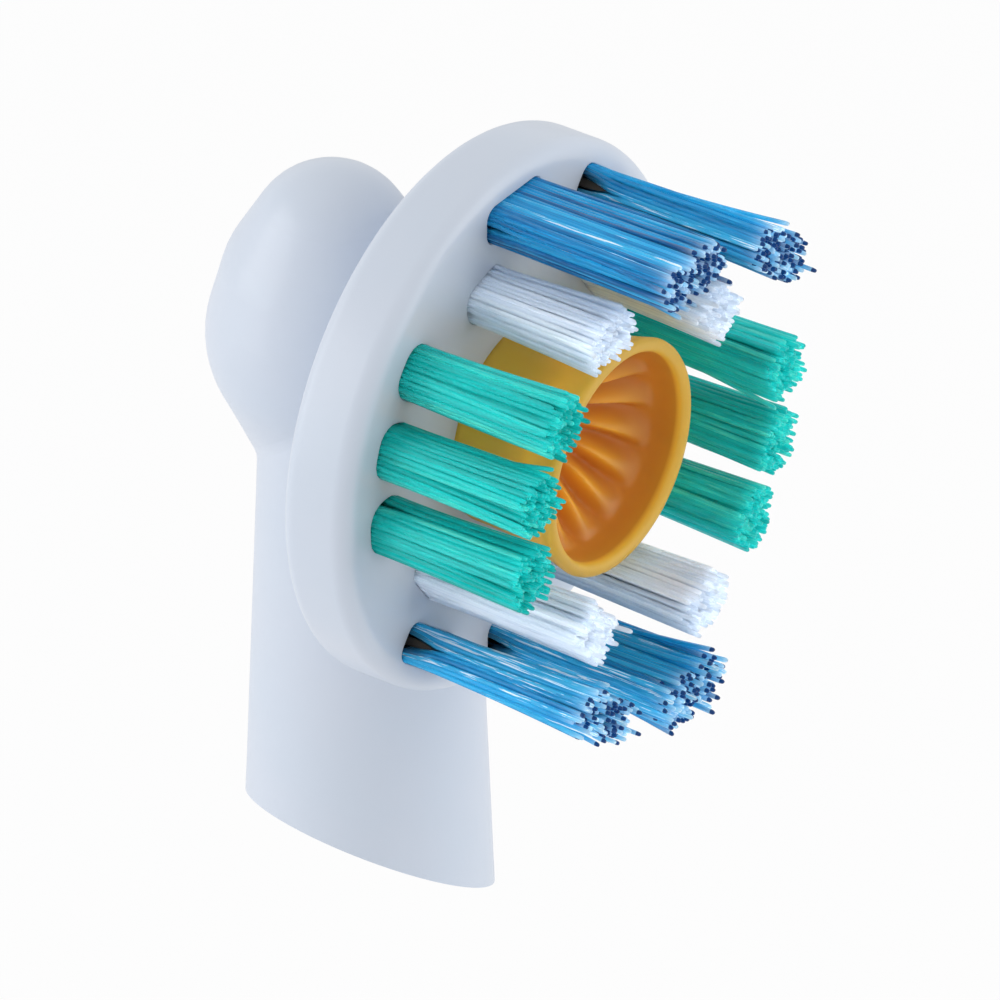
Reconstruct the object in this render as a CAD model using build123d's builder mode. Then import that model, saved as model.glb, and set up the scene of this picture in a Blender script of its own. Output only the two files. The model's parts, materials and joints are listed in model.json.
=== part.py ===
from build123d import *

import os
from dataclasses import dataclass
from math import asin, cos, degrees, pi, radians, sin, sqrt, tan

os.makedirs("parts", exist_ok=True)

# Frame: origin at the mouth of the drive socket, +Z up the neck, bristles facing -Y
axis_height = 11.5  # swing axis of the carrier above the socket's mouth
rest_swing = 19.0  # how far the carrier is turned clockwise at rest, seen from the front
swing_limit = 22.0  # swing to each side of the carrier's middle position

# Clearances
running_gap = 0.03  # round a bearing
free_gap = 0.15  # between moving pieces that don't bear on each other
seat_gap = 0.02  # round a piece that is pressed or folded into its pocket

# Neck and dome, one moulding
neck_top_radius = 2.48
neck_foot_radius = 3.1
neck_length = 16.0  # below the swing axis, before the slanting end is cut
end_drop = 1.97  # slanting end below the socket's mouth, on the neck's axis
end_fall = 0.60  # fall of the end to the right, per mm
end_rise = 0.13  # rise of the end to the back, per mm
dome_radius = 3.0  # ball at its widest place
dome_rise = 4.48  # top of the egg-shaped dome above its widest place
shoulder_radius = 2.7  # ball between its widest place and its top
shoulder_lift = 1.13  # that ball above the widest place
crown_radius = 2.0  # ball at its top
dome_taper = 25.0  # slope of the cone that runs it out into the neck, from upright
dome_setback = 0.96
dome_lift = 0.53  # widest place of the dome above the swing axis
boss_radius = 2.55
crease_radius = 0.5
flat_forward = 2.2  # flat front of the housing, in front of the neck's axis
flat_drop = 7.0  # lower end of that flat, below the swing axis
ramp_slope = 1.4  # drop of the ramp that runs the flat out into the neck, per mm forward
window_corner = 0.3

# Bristle carrier
carrier_radius = 6.85
carrier_thickness = 1.9
carrier_gap = 0.2  # behind the carrier, to the housing's flat
rim_chamfer = 0.3
hub_radius = 1.3
hub_length = 1.2

# Axle
axle_radius = 0.55
axle_grip = 2.6  # length held in the housing
axle_head_radius = 0.95
axle_head_thickness = 0.35

# Drive shaft, pin and bush
shaft_radius = 1.4
shaft_core_radius = 0.8
shaft_rib_thickness = 0.5
shaft_foot_length = 6.0  # plain round foot of the shaft, with the socket in it
shaft_head_above = 0.55  # top of the shaft's head above the drive pin
shaft_head_below = 0.9
collar_radius = 1.55
collar_thickness = 0.5
journal_radius = 0.5
journal_length = 0.75
socket_radius = 0.9
socket_depth = 4.5
key_width = 0.4
key_reach = 1.15  # outer end of the key slots from the axis
key_depth = 1.2
drive_drop = 2.5  # drive pin below the swing axis
drive_reach = 2.95  # ball of the drive pin in front of the neck's axis
drive_pin_radius = 0.3
drive_pin_tail = 1.1  # pin behind the neck's axis
drive_ball_radius = 0.42
ball_gap = 0.08  # each side of the ball in its slot
slot_floor_gap = 0.22
neck_bore_radius = 1.75
bush_radius = 2.0
bush_length = 1.6
bush_top_drop = 8.2  # bush's upper face below the swing axis
bush_chamfer = 0.12

# Polishing cup
plug_radius = 1.5
plug_depth = 0.8
cup_splay = 0.4  # rim's radius over the base's
cup_height = 3.0
cup_lip = 0.28  # thickness of the wall at its rim
lip_bevel = 0.08
cup_floor = 0.6
floor_share = 0.525  # floor's radius over the bowl's at the lip
bowl_bulge = 0.25
rib_count = 8
rib_thickness = 0.36
rib_rise = 0.4  # height of a rib over the bowl
rib_root = 0.2  # depth of its root in the wall
rib_drop = 0.5  # top of a rib below the lip
rib_run = 0.6  # foot of a rib on the floor

# Tufts, in families of one colour
tuft_band = 3.9  # from the cup's rim to the carrier's
pocket_depth = 1.3
corner_share = 0.29  # cut corners of the pockets over their width
blue_length = 2.2
blue_width = 1.0
blue_land = 0.6  # between the pockets and the carrier's rim
blue_side = 1.88  # from the carrier's middle line
blue_height = 5.2
blue_spread_share = 1.1  # width at the tips over width at the pocket
white_length = 1.65
white_width = 1.05
white_gap = 0.7  # between the pockets and the cup's rim
white_side = 2.39
white_height_above = 3.7
white_height_below = 4.9
white_spread_share = 1.15
green_length = 1.45
green_width = 1.2
green_land = 1.05
green_pitch = 1.9  # from tuft to tuft
green_height = 4.3
green_spread_share = 1.2
tip_round = 0.3  # height over which the tips draw in
tip_share = 0.82
groove_depth = 0.07
ridge_pitch = 0.62  # from ridge to ridge round a bundle
slit_above = 1.0  # split between a bundle's two legs, above the carrier's face
anchor_thickness = 0.2
anchor_height = 0.75
fold_height = 0.3  # folded filaments under an anchor

# Places worked out from those sizes
carrier_back = flat_forward + carrier_gap
carrier_front = carrier_back + carrier_thickness
hub_back = carrier_back - hub_length
head_floor = carrier_front - plug_depth - axle_head_thickness - 2 * running_gap
drive_level = axis_height - drive_drop
turn_limit = asin(drive_drop * tan(radians(swing_limit)) / drive_reach)
rest_turn = asin(drive_drop * tan(radians(rest_swing)) / drive_reach)
shaft_top = drive_level + shaft_head_above
bush_top = axis_height - bush_top_drop
neck_low = axis_height - neck_length
dome_level = axis_height + dome_lift
dome_top = dome_level + dome_rise
dome_tip = dome_level - dome_radius / sin(radians(dome_taper))
crown_lift = dome_rise - crown_radius
shoulder_taper = degrees(asin((dome_radius - shoulder_radius) / shoulder_lift))
crown_taper = degrees(asin((shoulder_radius - crown_radius) / (crown_lift - shoulder_lift)))
bore_roof = shaft_top + free_gap
recess_floor = hub_back - free_gap
window_half_width = flat_forward * tan(turn_limit) + drive_pin_radius / cos(turn_limit) + free_gap
window_height = 2 * (drive_ball_radius + free_gap)
slot_near = drive_drop
slot_far = drive_drop / cos(radians(swing_limit))
pin_plane = Plane(origin=(0, 0, drive_level), z_dir=(-sin(rest_turn), -cos(rest_turn), 0))
cup_rim_radius = carrier_radius - tuft_band
cup_base_radius = cup_rim_radius - cup_splay
bowl_radius = cup_rim_radius - cup_lip
cup_floor_radius = floor_share * bowl_radius
lip_top = cup_height + lip_bevel
bowl_middle = (
    (bowl_radius + cup_floor_radius) / 2 + bowl_bulge,
    (cup_height + cup_floor) / 2 - bowl_bulge,
)
rib_top = (bowl_radius, cup_height - rib_drop)
rib_crest = (bowl_middle[0] - rib_rise / sqrt(2), bowl_middle[1] + rib_rise / sqrt(2))
rib_foot = (cup_floor_radius - rib_run, cup_floor - rib_root)
rib_back = (bowl_middle[0] + rib_root, bowl_middle[1] - rib_root)
blue_ring = carrier_radius - blue_land - blue_width / 2
white_ring = cup_rim_radius + white_gap + white_width / 2
green_ring = carrier_radius - green_land - green_width / 2
blue_angle = degrees(asin(blue_side / blue_ring))
white_angle = degrees(asin(white_side / white_ring))
green_spread = 2 * degrees(asin(green_pitch / 2 / green_ring))


@dataclass
class Tuft:
    """One bundle: its name, its angle clockwise from the top, its ring, its size and how far it spreads."""

    name: str
    angle: float
    ring: float
    length: float
    width: float
    height: float
    spread: float


def tuft_family(colour, ring, length, width, spread, places):
    return [
        Tuft(f"{colour}_tuft_{number}", angle, ring, length, width, height, spread)
        for number, (angle, height) in enumerate(places, start=1)
    ]


top, right, bottom, left = 0, 90, 180, 270
blue_places = [(top - blue_angle, blue_height), (top + blue_angle, blue_height)]
blue_places += [(bottom + blue_angle, blue_height), (bottom - blue_angle, blue_height)]
white_places = [(top - white_angle, white_height_above), (top + white_angle, white_height_above)]
white_places += [(bottom + white_angle, white_height_below), (bottom - white_angle, white_height_below)]
green_places = [(left + step * green_spread, green_height) for step in (1, 0, -1)]
green_places += [(right + step * green_spread, green_height) for step in (-1, 0, 1)]
tufts = tuft_family("blue", blue_ring, blue_length, blue_width, blue_spread_share, blue_places)
tufts += tuft_family("white", white_ring, white_length, white_width, white_spread_share, white_places)
tufts += tuft_family("green", green_ring, green_length, green_width, green_spread_share, green_places)


def front_plane(forward):
    """Upright plane in front of the neck's axis, centred on the swing axis, facing forward."""
    return Plane(origin=(0, -forward, axis_height), x_dir=(1, 0, 0), z_dir=(0, -1, 0))


def carrier_plane(forward, turn=0):
    """The same plane, turned with the carrier, and further clockwise by turn."""
    angle = radians(rest_swing + turn)
    return Plane(origin=(0, -forward, axis_height), x_dir=(cos(angle), 0, -sin(angle)), z_dir=(0, -1, 0))


def tuft_plane(tuft, height):
    """Plane across a tuft at a height over the carrier's face, x along its pocket."""
    turned = carrier_plane(carrier_front + height, tuft.angle)
    return Plane(origin=turned.from_local_coords((0, tuft.ring)), x_dir=turned.x_dir, z_dir=turned.z_dir)


def cup_section_plane(turn):
    """Plane through the swing axis: x away from the axis, y out of the carrier's face."""
    angle = radians(rest_swing + turn)
    origin = (0, -carrier_front, axis_height)
    return Plane(origin=origin, x_dir=(cos(angle), 0, -sin(angle)), z_dir=(-sin(angle), 0, -cos(angle)))


def bundle_outline(tuft, share):
    """Corners of a bundle's section: ridges and grooves in turn along the rim of a slot."""
    width = tuft.width - 2 * seat_gap
    straight = tuft.length - tuft.width
    cap = pi * width / 2
    half_lap = cap + straight
    ridges = 2 * round(half_lap / ridge_pitch)
    corners = []
    for step in range(2 * ridges):
        second_half, run = divmod(step * half_lap / ridges, half_lap)
        reach = width / 2 - groove_depth * (step % 2)
        side = -share if second_half else share
        if run < cap:
            bend = pi * run / cap - pi / 2
            corners.append((side * (straight / 2 + reach * cos(bend)), side * reach * sin(bend)))
        else:
            corners.append((side * (straight / 2 - run + cap), side * reach))
    return corners


# Neck and dome with the bores for the drive, the hub and the axle
with BuildPart() as neck_housing:
    with BuildSketch(Plane.XZ):
        with BuildLine():
            Polyline(
                (0, neck_low),
                (neck_foot_radius, neck_low),
                (neck_top_radius, axis_height),
                (0, axis_height),
                close=True,
            )
        make_face()
    revolve(axis=Axis.Z)
    with BuildSketch(Plane.XZ.offset(-dome_setback)):
        with BuildLine():
            belly = CenterArc((0, dome_level), dome_radius, -dome_taper, dome_taper + shoulder_taper)
            shoulder = CenterArc(
                (0, dome_level + shoulder_lift), shoulder_radius, shoulder_taper, crown_taper - shoulder_taper
            )
            crown = CenterArc((0, dome_level + crown_lift), crown_radius, crown_taper, 90 - crown_taper)
            Line(belly @ 1, shoulder @ 0)
            Line(shoulder @ 1, crown @ 0)
            Polyline(crown @ 1, (0, dome_tip), belly @ 0)
        make_face()
    revolve(axis=Axis((0, dome_setback, 0), (0, 0, 1)))
    with BuildSketch(front_plane(flat_forward)):
        Circle(boss_radius)
    extrude(amount=-flat_forward - dome_setback)
    fillet(neck_housing.edges().filter_by(GeomType.BSPLINE), crease_radius)
    # Flat front under the carrier, running out into the neck
    with BuildSketch(Plane.YZ):
        with BuildLine():
            Polyline(
                (-flat_forward, dome_top),
                (-flat_forward, axis_height - flat_drop),
                (-carrier_front, axis_height - flat_drop - ramp_slope * (carrier_front - flat_forward)),
                (-carrier_front, dome_top),
                close=True,
            )
        make_face()
    extrude(amount=carrier_radius, both=True, mode=Mode.SUBTRACT)
    # Slanting end
    split(bisect_by=Plane(origin=(0, 0, -end_drop), z_dir=(end_fall, -end_rise, 1)), keep=Keep.TOP)
    # Stepped bore: bush seat, shaft room and the blind bearing for the shaft's journal
    with BuildSketch(Plane.XZ):
        with BuildLine():
            Polyline(
                (0, neck_low),
                (bush_radius, neck_low),
                (bush_radius, bush_top),
                (neck_bore_radius, bush_top),
                (neck_bore_radius, bore_roof),
                (journal_radius + running_gap, bore_roof),
                (journal_radius + running_gap, shaft_top + journal_length + free_gap),
                (0, shaft_top + journal_length + free_gap),
                close=True,
            )
        make_face()
    revolve(axis=Axis.Z, mode=Mode.SUBTRACT)
    # Recess for the carrier's hub and the axle's hole in its floor
    with BuildSketch(front_plane(flat_forward)):
        Circle(hub_radius + free_gap)
    extrude(amount=recess_floor - flat_forward, mode=Mode.SUBTRACT)
    with BuildSketch(front_plane(recess_floor)):
        Circle(axle_radius)
    extrude(amount=-axle_grip, mode=Mode.SUBTRACT)
    # Window that the drive pin swings in
    with BuildSketch(front_plane(flat_forward)):
        with Locations((0, -drive_drop)):
            RectangleRounded(2 * window_half_width, window_height, window_corner)
    extrude(amount=-flat_forward, mode=Mode.SUBTRACT)
neck_housing.part.label = "neck_housing"
export_step(neck_housing.part, "parts/neck_housing.step")

# Headed steel axle, pressed into the housing from the front
with BuildPart() as carrier_axle:
    with BuildSketch(front_plane(recess_floor - axle_grip)):
        Circle(axle_radius)
    extrude(amount=axle_grip - recess_floor + head_floor + running_gap)
    with BuildSketch(front_plane(head_floor + running_gap)):
        Circle(axle_head_radius)
    extrude(amount=axle_head_thickness)
carrier_axle.part.label = "carrier_axle"
export_step(carrier_axle.part, "parts/carrier_axle.step")

# Bearing ring in the neck
with BuildPart() as shaft_bush:
    with BuildSketch(Plane.XY.offset(bush_top)):
        Circle(bush_radius)
        Circle(shaft_radius + running_gap, mode=Mode.SUBTRACT)
    extrude(amount=-bush_length)
    chamfer(shaft_bush.edges().sort_by(Axis.Z)[:2], bush_chamfer)
shaft_bush.part.label = "shaft_bush"
export_step(shaft_bush.part, "parts/shaft_bush.step")

# Moulded drive shaft: round foot with the socket, four-ribbed middle, round head with a journal
with BuildPart() as drive_shaft:
    with BuildSketch():
        Circle(shaft_radius)
    extrude(amount=shaft_foot_length)
    with BuildSketch(Plane.XY.offset(bush_top + free_gap)):
        Circle(collar_radius)
    extrude(amount=collar_thickness)
    with BuildSketch(Plane.XY.offset(shaft_foot_length)):
        Rectangle(2 * shaft_radius, shaft_rib_thickness)
        Rectangle(shaft_rib_thickness, 2 * shaft_radius)
        Circle(shaft_radius, mode=Mode.INTERSECT)
        Circle(shaft_core_radius)
    extrude(amount=drive_level - shaft_head_below - shaft_foot_length)
    with BuildSketch(Plane.XY.offset(drive_level - shaft_head_below)):
        Circle(shaft_radius)
    extrude(amount=shaft_head_below + shaft_head_above)
    with BuildSketch(Plane.XY.offset(shaft_top)):
        Circle(journal_radius)
    extrude(amount=journal_length)
    with BuildSketch():
        Circle(socket_radius)
    extrude(amount=socket_depth, mode=Mode.SUBTRACT)
    with BuildSketch():
        Rectangle(2 * key_reach, key_width)
    extrude(amount=key_depth, mode=Mode.SUBTRACT)
    with BuildSketch(pin_plane.offset(-drive_pin_tail)):
        Circle(drive_pin_radius)
    extrude(amount=drive_pin_tail + shaft_radius, mode=Mode.SUBTRACT)
drive_shaft.part.label = "drive_shaft"
export_step(drive_shaft.part, "parts/drive_shaft.step")

# Steel drive pin with a ball end
with BuildPart() as drive_pin:
    with BuildSketch(pin_plane.offset(-drive_pin_tail)):
        Circle(drive_pin_radius)
    extrude(amount=drive_pin_tail + drive_reach)
    with Locations(pin_plane.offset(drive_reach)):
        Sphere(drive_ball_radius)
drive_pin.part.label = "drive_pin"
export_step(drive_pin.part, "parts/drive_pin.step")

# Bristle carrier: thick disc with bevelled rims, hub, cup socket, drive slot and tuft pockets
with BuildPart() as bristle_carrier:
    with BuildSketch(carrier_plane(carrier_back)):
        Circle(carrier_radius)
    extrude(amount=carrier_thickness)
    chamfer(bristle_carrier.edges().filter_by(GeomType.CIRCLE), rim_chamfer)
    with BuildSketch(carrier_plane(hub_back)):
        Circle(hub_radius)
    extrude(amount=hub_length)
    with BuildSketch(carrier_plane(carrier_front)):
        Circle(plug_radius)
    extrude(amount=-plug_depth, mode=Mode.SUBTRACT)
    with BuildSketch(carrier_plane(head_floor)):
        Circle(axle_head_radius + free_gap)
    extrude(amount=carrier_front - plug_depth - head_floor, mode=Mode.SUBTRACT)
    with BuildSketch(carrier_plane(hub_back)):
        Circle(axle_radius + running_gap)
    extrude(amount=head_floor - hub_back, mode=Mode.SUBTRACT)
    with BuildSketch(carrier_plane(carrier_back)):
        with Locations((0, -(slot_near + slot_far) / 2)):
            SlotCenterToCenter(slot_far - slot_near, 2 * (drive_ball_radius + ball_gap), rotation=90)
    extrude(amount=drive_reach + drive_ball_radius + slot_floor_gap - carrier_back, mode=Mode.SUBTRACT)
    for tuft in tufts:
        with BuildSketch(tuft_plane(tuft, 0)):
            pocket = Rectangle(tuft.length, tuft.width)
            chamfer(pocket.vertices(), corner_share * tuft.width)
        extrude(amount=-pocket_depth, mode=Mode.SUBTRACT)
bristle_carrier.part.label = "bristle_carrier"
export_step(bristle_carrier.part, "parts/bristle_carrier.step")

# Soft polishing cup: plug, flared wall, thin lip, and ribs standing in the bowl
with BuildPart() as polishing_cup:
    with BuildSketch(cup_section_plane(0)):
        with BuildLine():
            Polyline(
                (0, -plug_depth),
                (plug_radius, -plug_depth),
                (plug_radius, 0),
                (cup_base_radius, 0),
                (cup_rim_radius, cup_height),
                (cup_rim_radius - lip_bevel, lip_top),
                (bowl_radius + lip_bevel, lip_top),
                (bowl_radius, cup_height),
                bowl_middle,
                (cup_floor_radius, cup_floor),
                (0, cup_floor),
                close=True,
            )
        make_face()
    revolve(axis=Axis((0, -carrier_front, axis_height), (0, -1, 0)))
    for rib in range(rib_count):
        with BuildSketch(cup_section_plane(360 * rib / rib_count)):
            with BuildLine():
                ThreePointArc(rib_top, rib_crest, rib_foot)
                Polyline(rib_foot, (cup_floor_radius, cup_floor - rib_root), rib_back, rib_top)
            make_face()
        extrude(amount=rib_thickness / 2, both=True)
polishing_cup.part.label = "polishing_cup"
export_step(polishing_cup.part, "parts/polishing_cup.step")

# Folded bundles of filaments, flaring to their tips, split where the anchor plate holds them
for tuft in tufts:
    with BuildPart() as bundle:
        sections = [
            (-pocket_depth, 1),
            (0, 1),
            (tuft.height - tip_round, tuft.spread),
            (tuft.height, tuft.spread * tip_share),
        ]
        for height, share in sections:
            with BuildSketch(tuft_plane(tuft, height)):
                Polygon(*bundle_outline(tuft, share))
        loft(ruled=True)
        with BuildSketch(tuft_plane(tuft, fold_height - pocket_depth)):
            Rectangle(tuft.length, anchor_thickness)
        extrude(amount=pocket_depth - fold_height + slit_above, mode=Mode.SUBTRACT)
    bundle.part.label = tuft.name
    export_step(bundle.part, f"parts/{tuft.name}.step")

# Flat anchor plates across the pockets, one in each bundle
with BuildPart() as tuft_anchors:
    for tuft in tufts:
        with BuildSketch(tuft_plane(tuft, fold_height - pocket_depth)):
            Rectangle(tuft.length - 2 * seat_gap, anchor_thickness)
        extrude(amount=anchor_height)
tuft_anchors.part.label = "tuft_anchors"
export_step(tuft_anchors.part, "parts/tuft_anchors.step")
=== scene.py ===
import json
from math import cos, pi, radians, sin, sqrt
import bmesh
import bpy
import numpy as np
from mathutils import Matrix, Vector


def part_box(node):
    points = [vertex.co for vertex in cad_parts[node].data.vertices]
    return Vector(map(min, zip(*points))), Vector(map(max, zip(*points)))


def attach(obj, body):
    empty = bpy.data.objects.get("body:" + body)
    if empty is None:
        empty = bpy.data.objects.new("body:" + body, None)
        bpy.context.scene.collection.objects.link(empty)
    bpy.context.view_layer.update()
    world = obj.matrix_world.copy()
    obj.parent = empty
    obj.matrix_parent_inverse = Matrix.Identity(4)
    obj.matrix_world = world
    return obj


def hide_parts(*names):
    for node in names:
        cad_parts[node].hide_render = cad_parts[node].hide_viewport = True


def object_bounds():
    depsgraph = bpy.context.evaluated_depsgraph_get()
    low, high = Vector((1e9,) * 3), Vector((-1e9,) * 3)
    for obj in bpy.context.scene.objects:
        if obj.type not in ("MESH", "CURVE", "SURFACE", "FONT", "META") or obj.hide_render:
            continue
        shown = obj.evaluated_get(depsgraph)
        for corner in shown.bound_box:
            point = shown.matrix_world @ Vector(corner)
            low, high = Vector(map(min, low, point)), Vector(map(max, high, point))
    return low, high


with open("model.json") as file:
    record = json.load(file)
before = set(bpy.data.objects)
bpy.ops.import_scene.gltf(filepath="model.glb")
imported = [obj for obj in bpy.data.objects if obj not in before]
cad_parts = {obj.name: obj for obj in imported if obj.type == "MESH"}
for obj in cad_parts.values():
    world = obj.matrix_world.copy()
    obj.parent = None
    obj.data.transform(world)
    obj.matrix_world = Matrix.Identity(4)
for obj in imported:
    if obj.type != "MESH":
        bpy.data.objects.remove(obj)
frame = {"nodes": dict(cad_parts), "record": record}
cad_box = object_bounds()

# Neck housing: the hollow neck and the rounded back of the head, moulded in one shot of white
# plastic with a faint blue tint. Everything else is pressed, snapped or slid into it.
mm = 0.001
housing_blue = (206, 217, 231)
housing_lilac = (212, 219, 232)
grain_size = 0.12 * mm
grain_depth = 0.02 * mm
grain_strength = 0.06


def paint(red, green, blue):
    """A colour as it is seen on screen, 0 to 255, as the shader's own linear colour."""
    seen = np.array((red, green, blue)) / 255
    linear = np.where(seen <= 0.04045, seen / 12.92, ((seen + 0.055) / 1.055) ** 2.4)
    return (*linear.tolist(), 1)


class Tone:
    """A value that changes over a surface: arithmetic on tones adds Math nodes to the finish."""

    def __init__(self, tree, socket=None):
        self.tree = tree
        self.socket = socket

    def node(self, kind, settings, sockets, out=0):
        """Any other node: its type, then its settings, then its sockets' values or links."""
        made = self.tree.nodes.new(kind)
        for name, value in settings.items():
            if name == "stops":
                band = made.color_ramp.elements
                while len(band) < len(value):
                    band.new(1)
                for stop, (place, colour) in zip(band, value):
                    stop.position = place
                    stop.color = paint(*colour)
            else:
                setattr(made, name, value)
        for name, value in sockets.items():
            if isinstance(value, Tone):
                self.tree.links.new(value.socket, made.inputs[name])
            else:
                made.inputs[name].default_value = value
        return Tone(self.tree, made.outputs[out])

    def maths(self, operation, first, second):
        """One Math node on two values or tones."""
        return self.node("ShaderNodeMath", {"operation": operation}, {0: first, 1: second})

    def __add__(self, other):
        return self.maths("ADD", self, other)

    def __sub__(self, other):
        return self.maths("SUBTRACT", self, other)

    def __rsub__(self, other):
        return self.maths("SUBTRACT", other, self)

    def __mul__(self, other):
        return self.maths("MULTIPLY", self, other)

    def __pow__(self, other):
        return self.maths("POWER", self, other)

    __radd__ = __add__
    __rmul__ = __mul__

    def between(self, first, second):
        """A colour between two others, or tones of colour, with this tone as the share."""
        settings = {"data_type": "RGBA", "clamp_factor": True}
        return self.node("ShaderNodeMix", settings, {0: self, 6: first, 7: second}, out=2)

    def tint(self, body, colour, sharp, share):
        """A tone of colour that goes over to another colour where this tone is high."""
        return (self ** sharp * share).between(body, paint(*colour))

    def speckle(self, patch, detail=2.0):
        """Soft cloudy variation in patches of about that size."""
        place = self.node("ShaderNodeTexCoord", {}, {}, out="Object")
        return self.node("ShaderNodeTexNoise", {}, {"Vector": place, "Scale": 1 / patch, "Detail": detail})


def mottled(first, second, patch, detail=2.0):
    """A recipe for a colour that drifts between two."""
    return lambda surface: surface.speckle(patch, detail).between(paint(*first), paint(*second))


def dulled(least, spread, patch, detail=2.0):
    """A recipe for a roughness that varies over the surface."""
    return lambda surface: least + spread * surface.speckle(patch, detail)


def grain(surface):
    """The faint orange-peel of a moulded skin."""
    height = surface.speckle(grain_size, detail=3)
    return surface.node(
        "ShaderNodeBump", {}, {"Strength": grain_strength, "Distance": grain_depth, "Height": height}
    )


def finish(name, all_over, **varying):
    """A material: values that hold all over the surface, and a recipe for each that varies."""
    material = bpy.data.materials.new(name)
    material.use_nodes = True
    shader = material.node_tree.nodes["Principled BSDF"]
    shader.subsurface_method = "BURLEY"
    for socket, value in all_over.items():
        shader.inputs[socket].default_value = value
    surface = Tone(material.node_tree)
    for socket, recipe in varying.items():
        material.node_tree.links.new(recipe(surface).socket, shader.inputs[socket.replace("_", " ")])
    return material


def dress(node, material):
    """Gives a CAD node its finish."""
    skin = frame["nodes"][node].data
    skin.materials.clear()
    skin.materials.append(material)


white_plastic = finish(
    "white_plastic",
    {"IOR": 1.5},
    Base_Color=mottled(housing_blue, housing_lilac, patch=3 * mm),
    Roughness=dulled(least=0.26, spread=0.10, patch=0.6 * mm, detail=4),
    Normal=grain,
)
dress("neck_housing", white_plastic)

# Drive shaft: milky moulded shaft with four ribs and a keyed socket in its foot for the handle's
# spindle. It is pushed up the neck first, and turns to and fro in the bush.
shaft_milky = (222, 223, 220)
shaft_warm = (212, 211, 205)
dress("drive_shaft", finish(
    "shaft_plastic",
    {"IOR": 1.48},
    Base_Color=mottled(shaft_milky, shaft_warm, patch=1.2 * mm),
    Roughness=dulled(least=0.38, spread=0.12, patch=0.4 * mm, detail=3),
))

# Shaft bush: a grey-blue bearing ring of slippery plastic, pressed into the neck from below.
# It keeps the drive shaft in its place.
bush_grey = (150, 160, 172)
bush_pale = (164, 172, 182)
dress("shaft_bush", finish(
    "bush_plastic",
    {"IOR": 1.48},
    Base_Color=mottled(bush_grey, bush_pale, patch=0.8 * mm),
    Roughness=dulled(least=0.42, spread=0.14, patch=0.3 * mm, detail=3),
))

# Drive pin and carrier axle: turned steel. The pin is pressed into the shaft and its ball swings
# the carrier; the headed axle is pressed into the housing through the carrier's hub.
steel_dark = (172, 174, 177)
steel_light = (204, 206, 209)
turned_steel = finish(
    "turned_steel",
    {"Metallic": 1.0},
    Base_Color=mottled(steel_dark, steel_light, patch=0.25 * mm, detail=4),
    Roughness=dulled(least=0.22, spread=0.16, patch=0.08 * mm, detail=4),
)
dress("drive_pin", turned_steel)
dress("carrier_axle", turned_steel)

# Bristle carrier: the thick round disc that swings on the axle, moulded of the same white plastic,
# with softly rounded rims and a pocket for each tuft. Its hub runs in the housing.
carrier_low, carrier_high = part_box("bristle_carrier")
swing_axis = Vector(frame["record"]["behaviour"]["joints"][0]["pos_m"])
carrier_radius = (carrier_high.x - carrier_low.x) / 2
carrier_face = carrier_low.y
hub_back = carrier_high.y
carrier_thickness = 1.9 * mm
carrier_back = carrier_face + carrier_thickness
front_rim = 0.45 * mm
back_rim = 0.42 * mm
rim_support = 1.2  # where the flat face starts, in rim radii from the edge
hub_radius = 1.3 * mm
axle_room = 0.58 * mm
axle_head_room = 1.1 * mm
axle_head_floor = 1.21 * mm
plug_radius = 1.5 * mm
plug_depth = 0.8 * mm
pocket_depth = 1.3 * mm
pocket_bevel = 0.03 * mm
pocket_play = 0.01 * mm
blue_corner = 0.3 * mm
round_share = 0.85  # corner radius of the other pockets, over half their width
root_slice = 0.01 * mm
rest_swing = radians(19)
drive_slot_near = 2.5 * mm
drive_slot_far = 2.7 * mm
drive_slot_radius = 0.5 * mm
drive_slot_depth = 1.19 * mm
rim_steps = 9
disc_steps = 160


def rounded_rim(middle_radius, middle_level, size, start, stop, steps=rim_steps):
    """Points of a rounded rim in a section: (radius, level), from one angle to another."""
    bend = np.linspace(radians(start), radians(stop), steps)
    return [(middle_radius + size * cos(b), middle_level + size * sin(b)) for b in bend]


def turned_rings(profile, steps):
    """A ring of points about the swing axis for each (radius, level) of a section."""
    turn = np.linspace(0, 2 * pi, steps, endpoint=False)
    rings = [
        (swing_axis.x + radius * np.cos(turn), np.full(steps, level), swing_axis.z - radius * np.sin(turn))
        for radius, level in profile
    ]
    return np.swapaxes(np.array(rings), 1, 2)


def ring_faces(rows, columns, first=0, closed=False):
    """Quads from ring to ring of points; an open run of rings gets a flat cap at each end."""
    row, column = np.mgrid[0:rows if closed else rows - 1, 0:columns]
    here, there = first + row * columns, first + (row + 1) % rows * columns
    following = (column + 1) % columns
    quads = np.stack([here + column, here + following, there + following, there + column], axis=-1)
    ends = [] if closed else [first, first + (rows - 1) * columns]
    return quads.reshape(-1, 4).tolist() + [list(range(end, end + columns)) for end in ends]


def solid_of(name, points, faces, crease=35):
    """A piece from its points and faces, smooth apart from edges that bend more than the crease."""
    mesh = bpy.data.meshes.new(name)
    mesh.from_pydata(points.reshape(-1, 3).tolist(), [], faces)
    form = bmesh.new()
    form.from_mesh(mesh)
    bmesh.ops.recalc_face_normals(form, faces=form.faces)
    form.to_mesh(mesh)
    form.free()
    mesh.shade_smooth()
    mesh.set_sharp_from_angle(angle=radians(crease))
    made = bpy.data.objects.new(name, mesh)
    bpy.context.scene.collection.objects.link(made)
    return made


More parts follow.
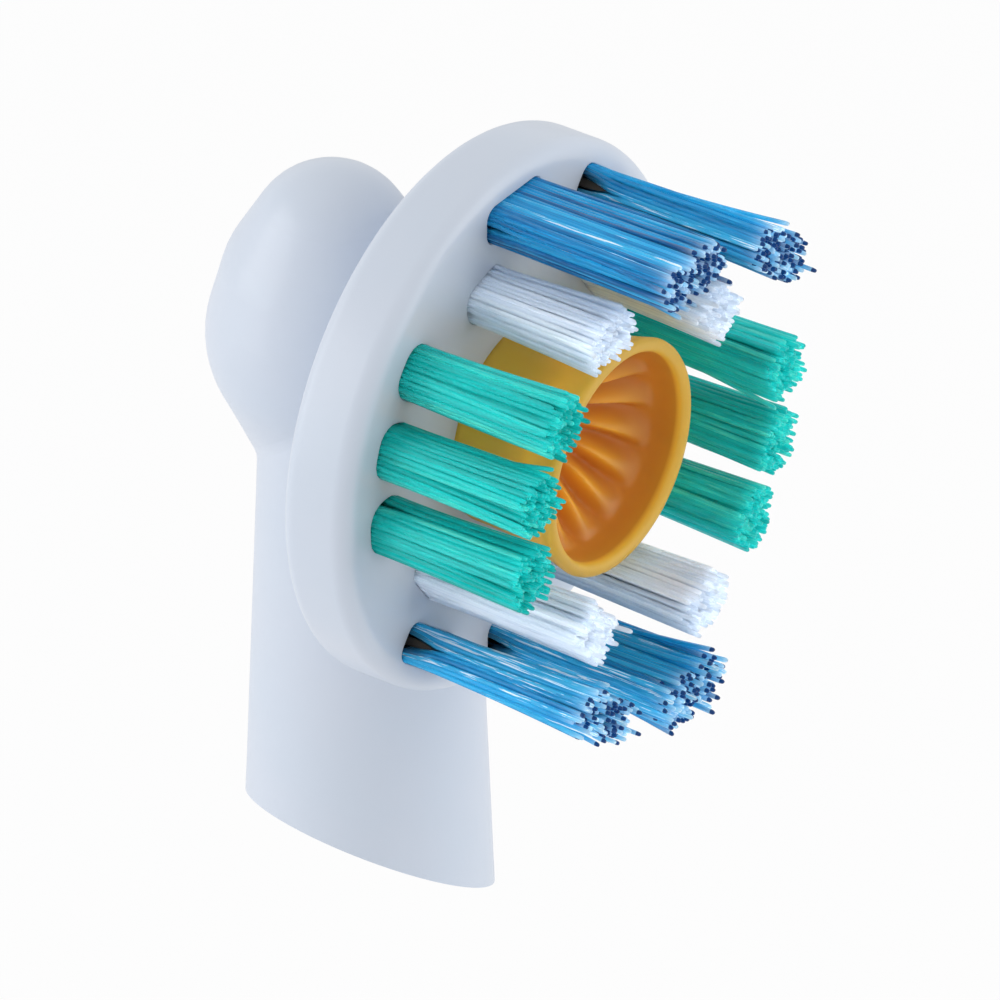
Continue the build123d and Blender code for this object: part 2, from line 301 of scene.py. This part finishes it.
def cut_out(piece, cutter, crease=35):
    """Takes the cutter's form out of a piece, and drops the cutter."""
    cut = piece.modifiers.new("cut", "BOOLEAN")
    cut.operation, cut.solver, cut.object = "DIFFERENCE", "EXACT", cutter
    bpy.context.view_layer.update()
    shaped = piece.evaluated_get(bpy.context.evaluated_depsgraph_get())
    mesh = bpy.data.meshes.new_from_object(shaped)
    piece.modifiers.clear()
    piece.data = mesh
    mesh.shade_smooth()
    mesh.set_sharp_from_angle(angle=radians(crease))
    bpy.data.objects.remove(cutter)


def bundle_of(node):
    """A CAD bundle's place: middle, ways along and across its pocket, half sizes, height and flare."""
    points = np.array([vertex.co for vertex in frame["nodes"][node].data.vertices])
    low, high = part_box(node)
    middle = np.array((low + high) / 2)
    across = middle - np.array(swing_axis)
    across[1] = 0
    across /= np.linalg.norm(across)
    along = np.cross(across, (0, 1, 0))
    root = points[points[:, 1] > high.y - root_slice]
    middle = (root.min(axis=0) + root.max(axis=0)) / 2
    half_length = np.abs((root - middle) @ along).max()
    half_width = np.abs((root - middle) @ across).max()
    flare = np.abs((points - middle) @ along).max() / half_length
    middle[1] = carrier_face
    return middle, along, across, half_length, half_width, carrier_face - low.y, flare


def slot_ring(middle, along, across, half_length, half_width, corner, level, steps=6):
    """Points round a slot with rounded corners, at a level."""
    bend = np.linspace(0, pi / 2, steps)
    bends = np.concatenate([bend + quarter_turn * pi / 2 for quarter_turn in range(4)])
    side = np.repeat((1, -1, -1, 1), steps) * (half_length - corner) + corner * np.cos(bends)
    deep = np.repeat((1, 1, -1, -1), steps) * (half_width - corner) + corner * np.sin(bends)
    ring = middle + np.outer(side, along) + np.outer(deep, across)
    ring[:, 1] = level
    return ring


def corner_of(node, half_width):
    """Blue pockets are nearly square at their corners, the others are round."""
    return blue_corner if node.startswith("blue") else round_share * half_width


section = [(axle_room, hub_back), (hub_radius, hub_back), (hub_radius, carrier_back)]
section += [(carrier_radius - rim_support * back_rim, carrier_back)]
section += rounded_rim(carrier_radius - back_rim, carrier_back - back_rim, back_rim, 90, 0)
section += rounded_rim(carrier_radius - front_rim, carrier_face + front_rim, front_rim, 0, -90)
section += [(carrier_radius - rim_support * front_rim, carrier_face)]
section += [(plug_radius, carrier_face), (plug_radius, carrier_face + plug_depth)]
section += [(axle_head_room, carrier_face + plug_depth), (axle_head_room, carrier_face + axle_head_floor)]
section += [(axle_room, carrier_face + axle_head_floor)]
disc_faces = ring_faces(len(section), disc_steps, closed=True)
disc = solid_of("carrier_disc", turned_rings(section, disc_steps), disc_faces)

pocket_levels = ((-pocket_bevel, 2 * pocket_bevel), (pocket_bevel, 0), (pocket_depth, 0))  # depth, play
pockets, pocket_faces = [], []
for tuft in [name for name in frame["nodes"] if "_tuft_" in name]:
    middle, along, across, half_length, half_width, *_ = bundle_of(tuft)
    corner = corner_of(tuft, half_width)
    for depth, play in pocket_levels:
        room = pocket_play + play
        sides = half_length + room, half_width + room, corner + room
        pockets.append(slot_ring(middle, along, across, *sides, carrier_face + depth))
    start = (len(pockets) - len(pocket_levels)) * len(pockets[0])
    pocket_faces += ring_faces(len(pocket_levels), len(pockets[0]), first=start)
cut_out(disc, solid_of("pocket_cutter", np.array(pockets), pocket_faces))

down = np.array((-sin(rest_swing), 0, -cos(rest_swing)))
sideways = np.array((cos(rest_swing), 0, -sin(rest_swing)))
slot_middle = np.array(swing_axis) + down * (drive_slot_near + drive_slot_far) / 2
slot_half = drive_slot_radius + (drive_slot_far - drive_slot_near) / 2
slot_rings = [
    slot_ring(slot_middle, down, sideways, slot_half, drive_slot_radius, drive_slot_radius, level)
    for level in (carrier_back + pocket_bevel, carrier_back - drive_slot_depth)
]
slot_faces = ring_faces(len(slot_rings), len(slot_rings[0]))
cut_out(disc, solid_of("slot_cutter", np.array(slot_rings), slot_faces))
disc.data.materials.append(white_plastic)
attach(disc, "carrier")
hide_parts("bristle_carrier")

# Tuft anchors: small stamped brass plates, coloured near-black as painted shade for the dark gap
# at each fold, driven into the pockets across the folded filaments. They hold the tufts by wedging
# in the pocket walls.
# Near-black brass: painted shade in the gap at each fold.
anchor_painted_shade_dark = (26, 22, 18)
anchor_painted_shade_light = (48, 42, 32)
dress("tuft_anchors", finish(
    "brass_plate",
    {"Metallic": 1.0},
    Base_Color=mottled(anchor_painted_shade_dark, anchor_painted_shade_light, patch=0.2 * mm, detail=3),
    Roughness=dulled(least=0.28, spread=0.15, patch=0.06 * mm, detail=3),
))

# Blue tufts: the four long bundles above and below the cup, of clear blue nylon filaments with
# rounded, darker ends. Each bundle is folded in two round its anchor plate.
strand_radius = 0.06 * mm
strand_pitch = 0.116 * mm
strand_sides = 6
strand_crease = 60
strand_jitter = 0.1 * strand_pitch
strand_lean = 0.025 * mm
strand_bow = 0.01 * mm
edge_inset = 0.8 * strand_radius
root_levels = np.array((-0.3, 0, 0.35, 0.75, 1.15)) * mm  # rings near the fold, up from the face
upper_rows = 5
end_drop = np.array((0.11, 0.09, 0.03, 0)) * mm  # rings of a rounded end, down from its tip
end_share = np.array((1, 1, 0.88, 0.6))  # of the full thickness there
flare_curve = 1.2
leg_height = 1.0 * mm  # where the two legs are one bundle again
open_fold = 0.2 * mm  # gap at which the fold gets its full painted shade
fold_reach = 1.6 * strand_pitch
cut_short = 0.5  # mean shortness of a filament, over its raggedness
clump_size = 0.5 * mm
clump_waves = 5
clump_short = 0.4  # mean shortness of a clump, over its unevenness
stray_lean = (0.08 * mm, 0.4 * mm)
stray_growth = 0.15 * mm
nylon_glow = {"IOR": 1.53, "Specular IOR Level": 0.25, "Subsurface Weight": 1.0}
nylon_glow |= {"Subsurface Radius": (1, 1, 1), "Subsurface Scale": 0.33 * mm}
streak_size = 0.035 * mm
streak_run = 0.03  # width of a streak over its length
shade_share = 0.94  # of a filament's own shade in its colour
streak_share = 0.9  # of its streaks in its colour
dark_ends = 0.55  # share of the filaments with a dark end
blue_navy_and_shade = (20, 84, 138)
blue_deep_and_shade = (26, 114, 170)
blue_mid = (30, 152, 208)
blue_clear = (64, 186, 230)
blue_painted_light = (226, 241, 250)
blue_end = (4, 56, 112)
blue_fold_shade = (8, 12, 22)
blue_clump = 0.1 * mm
blue_seed = 11
blue_bundles = {  # gap at the fold, raggedness, share of strays, depth of colour (painted light per bundle)
    "blue_tuft_1": (0.02 * mm, 0.08 * mm, 0.03, 2.0),
    "blue_tuft_2": (0.2 * mm, 0.08 * mm, 0.06, 0.75),
    "blue_tuft_3": (0.2 * mm, 0.13 * mm, 0.2, 0.5),
    "blue_tuft_4": (0.2 * mm, 0.13 * mm, 0.25, 0.4),
}


def eased(share):
    """A share from 0 to 1 that starts and ends softly."""
    return share * share * (3 - 2 * share)


def put_marks(piece, **marks):
    """Writes numbers on the points of a piece, for its finish to read."""
    for name, values in marks.items():
        written = piece.data.attributes.new(name, "FLOAT", "POINT")
        written.data.foreach_set("value", values.astype(np.float32))


def filaments(node, draw, leg_gap, ragged, clumped, stray_share, depth):
    """A folded bundle of single filaments in a pocket, with the marks that its finish reads."""
    middle, along, across, half_length, half_width, height, flare = bundle_of(node)
    corner = corner_of(node, half_width)
    reach = int(2 * half_length / strand_pitch)
    row, column = np.mgrid[-reach:reach + 1, -reach:reach + 1]
    side = (column + row % 2 / 2) * strand_pitch
    deep = row * strand_pitch * sqrt(3) / 2
    beyond_side = np.maximum(np.abs(side) - half_length + corner, 0)
    beyond_deep = np.maximum(np.abs(deep) - half_width + corner, 0)
    inside = np.hypot(beyond_side, beyond_deep) <= corner - strand_radius
    spots = np.stack([side[inside], deep[inside]])
    count = spots.shape[1]
    pocket_wall = np.array((half_length, half_width)) - edge_inset
    spots *= (pocket_wall / np.abs(spots).max(axis=1))[:, None]
    spots = spots + draw.uniform(-1, 1, (2, count)) * strand_jitter
    leg = np.where(spots[1] < 0, -1, 1)
    leg_start = leg_gap / 2 + strand_radius
    leg_deep = leg * leg_start + spots[1] * (1 - leg_start / half_width)
    wave_ways = draw.normal(0, 2 * pi / clump_size, (clump_waves, 2))
    waves = np.cos(wave_ways @ spots + draw.uniform(0, 2 * pi, (clump_waves, 1))).sum(axis=0)
    uneven = clumped * (waves / clump_waves - clump_short)
    length = height + draw.normal(-cut_short, 1, count) * ragged + uneven
    lean = draw.normal(0, strand_lean, (2, count))
    bow = draw.normal(0, strand_bow, (2, count))
    stray = draw.random(count) < stray_share
    outward = spots / np.maximum(np.hypot(*spots), strand_pitch)
    lean = lean + stray * outward * draw.uniform(*stray_lean, count)
    length = length + stray * draw.uniform(0, stray_growth, count)
    shade = draw.random(count)

    lower = np.repeat(root_levels[:, None], count, axis=1)
    share = np.linspace(0, 1, upper_rows + 1)[1:, None]
    upper = root_levels[-1] + share * (length - end_drop[0] - root_levels[-1])
    level = np.concatenate([lower, upper, length - end_drop[1:, None]])
    rows = len(level)
    thick = np.ones(rows) * strand_radius
    thick[-len(end_share):] *= end_share
    way = np.clip(level / length, 0, 1)
    spread = 1 + (flare - 1) * way ** flare_curve
    free = spots[:, None] * spread + lean[:, None] * way ** 2 + bow[:, None] * np.sin(pi * way)
    joined = eased(np.clip(level / leg_height, 0, 1))
    free[1] = leg_deep + (free[1] - leg_deep) * joined
    turn = np.linspace(0, 2 * pi, strand_sides, endpoint=False)
    around = np.outer(np.cos(turn), along) + np.outer(np.sin(turn), across)
    line = middle + free[0, ..., None] * along + free[1, ..., None] * across
    line[..., 1] = carrier_face - level
    rings = np.swapaxes(line[:, :, None] + thick[:, None, None, None] * around, 0, 1)
    faces = []
    for strand in range(count):
        faces += ring_faces(rows, strand_sides, first=strand * rows * strand_sides)
    piece = solid_of(f"{node}_filaments", rings, faces, strand_crease)

    # Filaments beside an open fold are darkened: painted shade in the gap between the two legs.
    fold_shade = np.exp(-(spots[1] / fold_reach) ** 2) * (1 - joined) * min(leg_gap / open_fold, 1)
    end_rows = np.repeat(np.arange(rows) > rows - len(end_share), strand_sides)
    # A bundle's depth of colour lightens or darkens all its filaments: painted light for how light falls
    # on that bundle.
    put_marks(
        piece,
        shade=np.repeat(shade ** depth, rows * strand_sides),
        way=np.repeat(way.T.reshape(-1), strand_sides),
        fold=np.repeat(fold_shade.T.reshape(-1), strand_sides),
        end=np.outer(shade < dark_ends, end_rows).reshape(-1),
    )
    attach(piece, "carrier")
    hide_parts(node)
    return piece


def mark(surface, name):
    """A mark that a piece carries, such as a filament's own shade or the way to its tip."""
    return surface.node("ShaderNodeAttribute", {"attribute_name": name}, {}, out="Fac")


def shades(surface, *stops):
    """The colour of a filament by its own shade, with fine streaks drawn along it."""
    place = surface.node("ShaderNodeTexCoord", {}, {}, out="Object")
    stretch = {0: place, 1: (1, streak_run, 1)}
    drawn = surface.node("ShaderNodeVectorMath", {"operation": "MULTIPLY"}, stretch)
    noise = {"Vector": drawn, "Scale": 1 / streak_size, "Detail": 2.0}
    streak = surface.node("ShaderNodeTexNoise", {}, noise)
    share = shade_share * mark(surface, "shade") + streak_share * streak - streak_share / 2
    return surface.node("ShaderNodeValToRGB", {"stops": stops}, {"Fac": share})


def blue_strand(surface):
    way = mark(surface, "way")
    # Random tone per filament and along fine streaks; the navy end is partly painted shade between
    # filaments, the pale end painted highlight streaks.
    body = shades(
        surface, (0.0, blue_navy_and_shade), (0.2, blue_deep_and_shade), (0.55, blue_mid), (0.94, blue_clear), (1.0, blue_painted_light)
    )
    # Darker towards the root: painted shade deep in the bundle and the pocket.
    body = (1 - way).tint(body, blue_deep_and_shade, sharp=3, share=0.4)
    # Paler towards the tips: painted light shining through the clear ends.
    body = way.tint(body, blue_painted_light, sharp=28, share=0.5)
    # Painted shade at the fold, between the two legs.
    body = mark(surface, "fold").between(body, paint(*blue_fold_shade))
    return mark(surface, "end").between(body, paint(*blue_end))


blue_nylon = finish(
    "blue_nylon",
    nylon_glow,
    Base_Color=blue_strand,
    Roughness=dulled(least=0.26, spread=0.12, patch=0.1 * mm),
)
blue_draw = np.random.default_rng(blue_seed)
for tuft, (blue_gap, blue_ragged, blue_strays, blue_painted_light_depth) in blue_bundles.items():
    blue_bundle = filaments(tuft, blue_draw, blue_gap, blue_ragged, blue_clump, blue_strays, blue_painted_light_depth)
    blue_bundle.data.materials.append(blue_nylon)

# White tufts: four shorter bundles between the blue ones and the cup, of milky nylon filaments
# with uneven ends, folded round their plates in the same way.
white_shadow = (204, 217, 232)
white_body = (217, 228, 241)
white_bright = (232, 240, 249)
white_fold_shade = (150, 158, 168)
white_gap = 0.02 * mm
white_ragged = 0.05 * mm
white_clump = 0.3 * mm
white_strays = 0.01
white_depth = 1
white_seed = 23


def white_strand(surface):
    body = shades(surface, (0.0, white_shadow), (0.4, white_body), (1.0, white_bright))
    # Darker towards the root: painted shade deep in the bundle and the pocket.
    body = (1 - mark(surface, "way")).tint(body, white_shadow, sharp=4, share=0.4)
    # Painted shade at the fold, between the two legs.
    return mark(surface, "fold").between(body, paint(*white_fold_shade))


white_nylon = finish(
    "white_nylon",
    nylon_glow,
    Base_Color=white_strand,
    Roughness=dulled(least=0.30, spread=0.12, patch=0.1 * mm),
)
white_draw = np.random.default_rng(white_seed)
for tuft in ("white_tuft_1", "white_tuft_2", "white_tuft_3", "white_tuft_4"):
    white_bundle = filaments(
        tuft, white_draw, white_gap, white_ragged, white_clump, white_strays, white_depth
    )
    white_bundle.data.materials.append(white_nylon)

# Green tufts: three bundles at each side of the cup, of bright teal nylon with uneven ends,
# folded round their plates in the same way.
green_deep_and_shade = (14, 158, 150)
green_body = (16, 178, 176)
green_bright = (36, 198, 194)
green_pale = (80, 212, 196)
green_fold_shade = (6, 84, 80)
green_gap = 0.02 * mm
green_ragged = 0.05 * mm
green_clump = 0.22 * mm
green_strays = 0.01
# The three right-hand bundles drawn lighter: painted light for the light that falls on them.
green_painted_light_depths = (1, 1, 1, 0.35, 0.35, 0.35)
green_seed = 37


def green_strand(surface):
    body = shades(surface, (0.0, green_deep_and_shade), (0.3, green_body), (0.8, green_bright), (1.0, green_pale))
    # Darker towards the root: painted shade deep in the bundle and the pocket.
    body = (1 - mark(surface, "way")).tint(body, green_deep_and_shade, sharp=5, share=0.7)
    # Painted shade at the fold, between the two legs.
    return mark(surface, "fold").between(body, paint(*green_fold_shade))


green_nylon = finish(
    "green_nylon",
    nylon_glow,
    Base_Color=green_strand,
    Roughness=dulled(least=0.28, spread=0.12, patch=0.1 * mm),
)
green_draw = np.random.default_rng(green_seed)
for number, green_painted_light_depth in enumerate(green_painted_light_depths, start=1):
    green_bundle = filaments(
        f"green_tuft_{number}", green_draw, green_gap, green_ragged, green_clump, green_strays, green_painted_light_depth
    )
    green_bundle.data.materials.append(green_nylon)

# Polishing cup: soft, slightly clear yellow-orange rubber, moulded with a rounded lip and sixteen
# curved ribs in its bowl. Its plug is pressed into the middle of the carrier.
cup_low, cup_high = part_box("polishing_cup")
cup_rim = (cup_high.x - cup_low.x) / 2
cup_top = carrier_face - cup_low.y
cup_taper = 0.4 * mm
cup_base = cup_rim - cup_taper
cup_draw_in = 0.12 * mm
lip_radius = 0.17 * mm
lip_level = cup_top - lip_radius
bowl_radius = cup_rim - 2 * lip_radius
bowl_floor = 0.6 * mm
bowl_square = 2.5  # 2 is a round bowl, more is squarer
bowl_middle = 0.03 * mm
cup_columns = 320
wall_rows = 16
bowl_rows = 56
rib_count = 16
rib_rise = 0.42 * mm
rib_crest = 0.66  # place of a rib's crest between its two valleys
rib_start, rib_stop = 0.16, 0.80
rib_twist = -0.2
rib_fullness = 0.7
rib_fade = 1.6  # how soon the ribs are whole, going out from the bowl's middle
cup_ochre = (210, 164, 58)
cup_yellow = (252, 196, 64)
cup_painted_light_gold = (255, 214, 86)
cup_bowl_shade_orange = (206, 136, 56)
cup_bowl_shade_brown = (190, 112, 46)
cup_cloud = 0.9 * mm
shell_painted_light_rise = 0.8  # share of the height in the shell's colour, lighter up to the lip as painted light; the rest is cloud
cup_glow = {"IOR": 1.45, "Subsurface Weight": 0.8}
cup_glow |= {"Subsurface Radius": (1, 0.7, 0.3), "Subsurface Scale": 0.8 * mm}

rise = np.linspace(0, 1, wall_rows)
wall_radius = cup_base + cup_taper * rise - cup_draw_in * np.sin(pi * rise)
outside = [(bowl_middle, -plug_depth), (plug_radius, -plug_depth), (plug_radius, 0)]
outside += list(zip(wall_radius, rise * lip_level))
outside += rounded_rim(cup_rim - lip_radius, lip_level, lip_radius, 0, 180)[1:]
sink = np.linspace(0, 1, bowl_rows)[1:]
bowl_bend = sink * pi / 2
bowl_in = np.maximum(bowl_radius * np.cos(bowl_bend) ** (2 / bowl_square), bowl_middle)
bowl_level = lip_level - (lip_level - bowl_floor) * np.sin(bowl_bend) ** (2 / bowl_square)
cup_section = outside + list(zip(bowl_in, bowl_level))
cup_rings = turned_rings([(radius, carrier_face - level) for radius, level in cup_section], cup_columns)

swell = np.clip((sink - rib_start) / (rib_stop - rib_start), 0, 1)
swell = np.sin(pi * swell) ** rib_fullness
turn = np.linspace(0, 2 * pi, cup_columns, endpoint=False)
rib_step = 2 * pi / rib_count
off = (turn[None, :] - rest_swing - rib_twist * (sink[:, None] - 0.5)) / rib_step + rib_crest
off = off % 1
ridge = eased(np.where(off < rib_crest, off / rib_crest, (1 - off) / (1 - rib_crest)))
crest = swell[:, None] * ridge * np.clip(bowl_in[:, None] / bowl_radius * rib_fade, 0, 1)
inward = np.stack([-np.cos(turn), np.zeros(cup_columns), np.sin(turn)], axis=1)
steep = np.cos(bowl_bend)[:, None, None]
upward = np.array((0, -1, 0)) * np.sin(bowl_bend)[:, None, None]
cup_rings[len(outside):] += rib_rise * crest[..., None] * (inward[None] * steep + upward)
cup = solid_of("rubber_cup", cup_rings, ring_faces(len(cup_section), cup_columns))
put_marks(
    cup,
    bowl=np.repeat(np.arange(len(cup_section)) >= len(outside), cup_columns),
    height=np.repeat(np.clip([level / cup_top for _, level in cup_section], 0, 1), cup_columns),
    crest=np.concatenate([np.zeros(len(outside) * cup_columns), crest.reshape(-1)]),
)


def cup_rubber(surface):
    cloud = surface.speckle(cup_cloud)
    height = mark(surface, "height")
    # Lighter towards the lip: painted light on the upper wall, mixed with random cloud.
    shell = shell_painted_light_rise * height + (1 - shell_painted_light_rise) * cloud
    shell = shell.between(paint(*cup_yellow), paint(*cup_painted_light_gold))
    shell = height.tint(shell, cup_ochre, sharp=14, share=0.9)
    # The bowl's inside drawn darker and redder: painted shade and painted bounced light in the hollow.
    inner = cloud.between(paint(*cup_bowl_shade_orange), paint(*cup_bowl_shade_brown))
    # Rib crests drawn back towards the shell's yellow: painted highlight on the ribs.
    inner = mark(surface, "crest").tint(inner, cup_yellow, sharp=1.4, share=0.8)
    inner = height.tint(inner, cup_ochre, sharp=5, share=0.9)
    return mark(surface, "bowl").between(shell, inner)


cup.data.materials.append(finish(
    "soft_cup",
    cup_glow,
    Base_Color=cup_rubber,
    Roughness=dulled(least=0.36, spread=0.12, patch=0.3 * mm, detail=3),
))
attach(cup, "carrier")
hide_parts("polishing_cup")

# Studio: a pale table well under the head, soft light from all round with a large softbox at each
# side, and a long lens that looks at the head from its left, a little from above.
floor_drop = 30 * mm
floor_size = 1.2
floor_pale = (250, 250, 251)
floor_glow = 0.88
round_light = 0.70
softboxes = {"left_softbox": (-1, 0.36), "right_softbox": (1, 0.30)}  # side and level
lamp_forward = 0.25
lamp_above = 0.2
lamp_size = 0.22
lamp_distance = 0.26
view_turn = radians(-55)
view_rise = radians(33)
view_width = 23.6 * mm
axis_left = 3.18 * mm
axis_above = 3.25 * mm
lens, sensor = 500, 36

scene = bpy.context.scene
floor_level = cad_box[0].z - floor_drop
floor_points = np.array([(x, y, floor_level) for x, y in ((-1, -1), (1, -1), (1, 1), (-1, 1))])
floor_points[:, :2] *= floor_size / 2
floor = solid_of("floor", floor_points, [(0, 1, 2, 3)])
floor_finish = finish("pale_table", {"Base Color": paint(*floor_pale), "Roughness": 0.8})
table = Tone(floor_finish.node_tree)
seen = table.node("ShaderNodeLightPath", {}, {}, out="Is Camera Ray")
shaded = Tone(table.tree, table.tree.nodes["Principled BSDF"].outputs["BSDF"])
white = table.node("ShaderNodeEmission", {}, {"Strength": 1.0})
lit = table.node("ShaderNodeMixShader", {}, {0: seen * floor_glow, 1: shaded, 2: white})
table.tree.links.new(lit.socket, table.tree.nodes["Material Output"].inputs["Surface"])
floor.data.materials.append(floor_finish)

scene.world = bpy.data.worlds.new("studio")
scene.world.use_nodes = True
sky = Tone(scene.world.node_tree)
plain = 0
for ray in ("Is Camera Ray", "Is Glossy Ray", "Is Transmission Ray"):
    plain = sky.maths("MAXIMUM", plain, sky.node("ShaderNodeLightPath", {}, {}, out=ray))
strength = round_light + (1 - round_light) * plain
sky.tree.links.new(strength.socket, sky.tree.nodes["Background"].inputs["Strength"])
sky.tree.nodes["Background"].inputs["Color"].default_value = (1, 1, 1, 1)

back = Vector((sin(view_turn) * cos(view_rise), -cos(view_turn) * cos(view_rise), sin(view_rise)))
right = Vector((cos(view_turn), sin(view_turn), 0))
up = back.cross(right)
aim = swing_axis + axis_left * right - axis_above * up
for name, (side, lamp_level) in softboxes.items():
    lamp_way = (lamp_forward * back + lamp_above * up + side * right).normalized()
    lamp_data = bpy.data.lights.new(name, "AREA")
    lamp_data.size = lamp_size
    lamp_data.energy = lamp_level * pi ** 2 * lamp_distance ** 2
    lamp = bpy.data.objects.new(name, lamp_data)
    lamp.location = aim + lamp_way * lamp_distance
    lamp.rotation_euler = lamp_way.to_track_quat("Z", "Y").to_euler()
    scene.collection.objects.link(lamp)

camera_data = bpy.data.cameras.new("camera")
camera_data.lens, camera_data.sensor_width = lens, sensor
camera_data.clip_start = 1 * mm
camera = bpy.data.objects.new("camera", camera_data)
camera.location = aim + back * view_width * lens / sensor
camera.rotation_euler = back.to_track_quat("Z", "Y").to_euler()
scene.collection.objects.link(camera)
scene.camera = camera
scene.view_settings.view_transform = "Standard"
